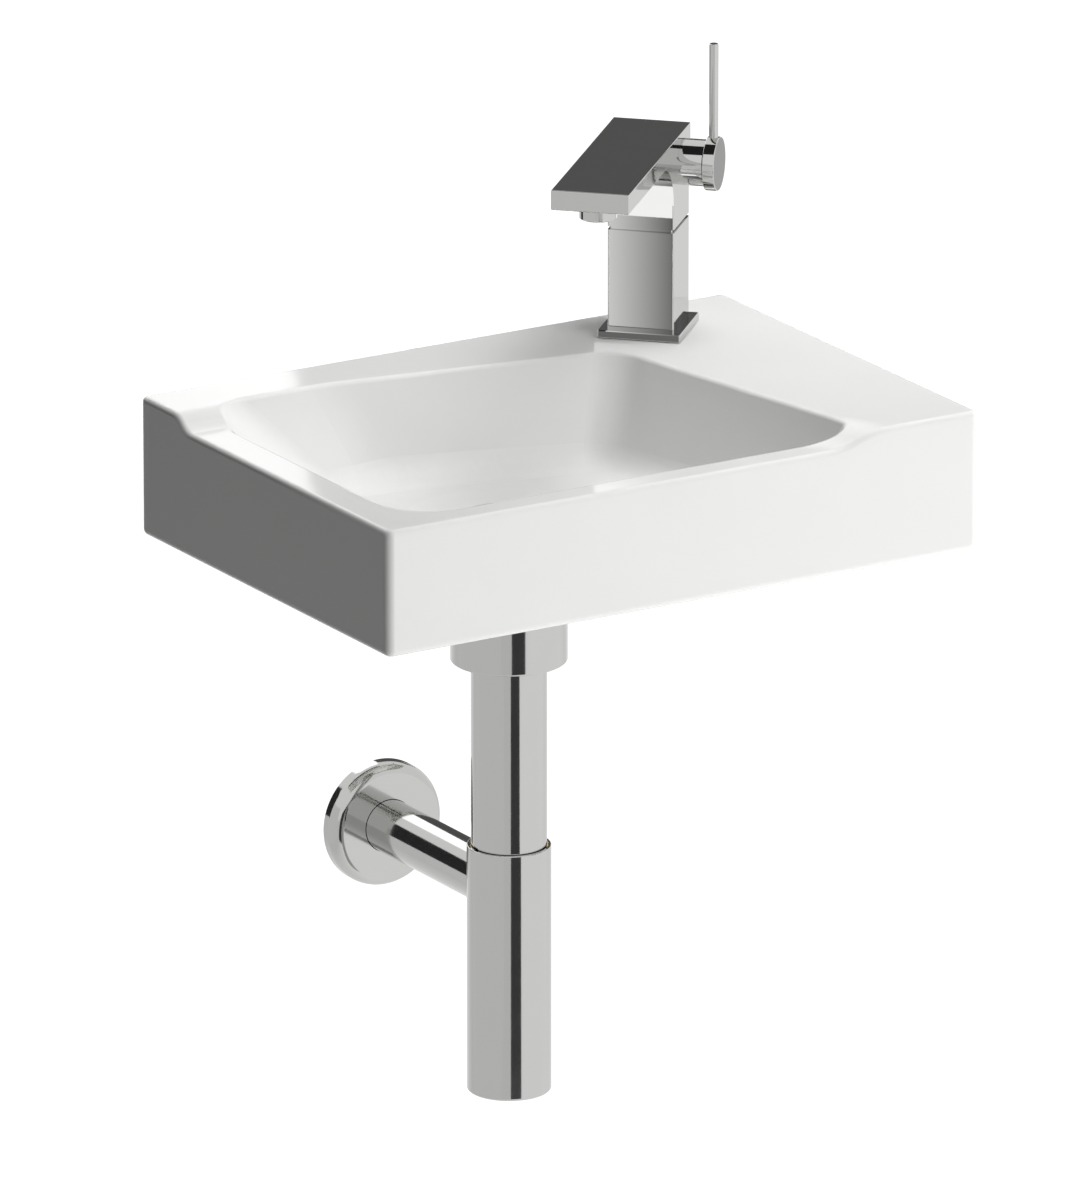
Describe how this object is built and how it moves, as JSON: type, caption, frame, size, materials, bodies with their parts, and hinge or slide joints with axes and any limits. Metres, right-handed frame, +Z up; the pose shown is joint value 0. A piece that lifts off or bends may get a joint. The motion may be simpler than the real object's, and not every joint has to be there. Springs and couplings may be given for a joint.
{
  "type": "sink",
  "caption": "Wall-hung rectangular hand-rinse basin with a raised shelf, a square side-lever mixer tap, a waste and a chromed bottle trap with its wall outlet.",
  "frame": {"origin": "on the wall plane, midway between the two wall fixings", "axes": "+X to the right as seen by the user, +Y into the wall, +Z up"},
  "size_m": [0.4, 0.3515, 0.5885],
  "materials": {
    "glazed_ceramic": "glossy white glaze",
    "tap_chrome": "polished chrome plate",
    "trap_chrome": "polished chrome plate",
    "waste_chrome": "polished chrome plate",
    "brass": "plain brass",
    "zinc_steel": "zinc plated steel",
    "rubber": "matt black rubber",
    "white_plastic": "white moulded plastic",
    "grey_plastic": "grey moulded plastic",
    "disc_ceramic": "ground ceramic"
  },
  "bodies": {
    "root": {"basin": "glazed_ceramic", "waste_body": "waste_chrome", "waste_cover": "waste_chrome", "waste_upper_seal": "rubber", "waste_lower_seal": "rubber", "waste_washer": "white_plastic", "waste_nut": "brass", "trap_collar": "trap_chrome", "trap_inlet_seal": "rubber", "dip_tube": "brass", "sleeve_tube": "trap_chrome", "trap_body": "trap_chrome", "trap_lid": "brass", "lid_seal": "rubber", "dip_tube_seal": "rubber", "cleaning_plug": "trap_chrome", "plug_seal": "rubber", "outlet_pipe": "trap_chrome", "outlet_grommet": "rubber", "rosette": "trap_chrome", "rosette_ring": "rubber", "hanger_bolts": "zinc_steel", "fixing_bushes": "white_plastic", "fixing_washers": "zinc_steel", "fixing_nuts": "zinc_steel", "tap_base_plate": "tap_chrome", "tap_base_seal": "rubber", "tap_column": "tap_chrome", "tap_gap_ring": "tap_chrome", "tap_spout": "tap_chrome", "aerator_housing": "tap_chrome", "aerator_insert": "grey_plastic", "aerator_seal": "rubber", "cartridge_neck": "tap_chrome", "cartridge": "grey_plastic", "cartridge_seals": "rubber", "fixed_disc": "disc_ceramic", "clamp_ring": "brass", "rubber_horseshoe": "rubber", "steel_horseshoe": "zinc_steel", "tap_stud": "brass", "tap_nut": "brass"},
    "spindle": {"moving_disc": "disc_ceramic", "spindle": "white_plastic", "pivot_pin": "zinc_steel"},
    "handle": {"lever_stem": "zinc_steel", "handle_cap": "tap_chrome", "lever_pin": "tap_chrome", "grub_screw": "zinc_steel"}
  },
  "joints": [
    {"name": "temperature_turn", "type": "hinge", "parent": "root", "child": "spindle", "pos_m": [0.13957, -0.05717, 0.1485], "axis": [0.7071, -0.7071, 0], "range_deg": [-45, 45]},
    {"name": "flow_tilt", "type": "hinge", "parent": "spindle", "child": "handle", "pos_m": [0.13957, -0.05717, 0.1485], "axis": [0.7071, 0.7071, 0], "range_deg": [0, 20]}
  ]
}
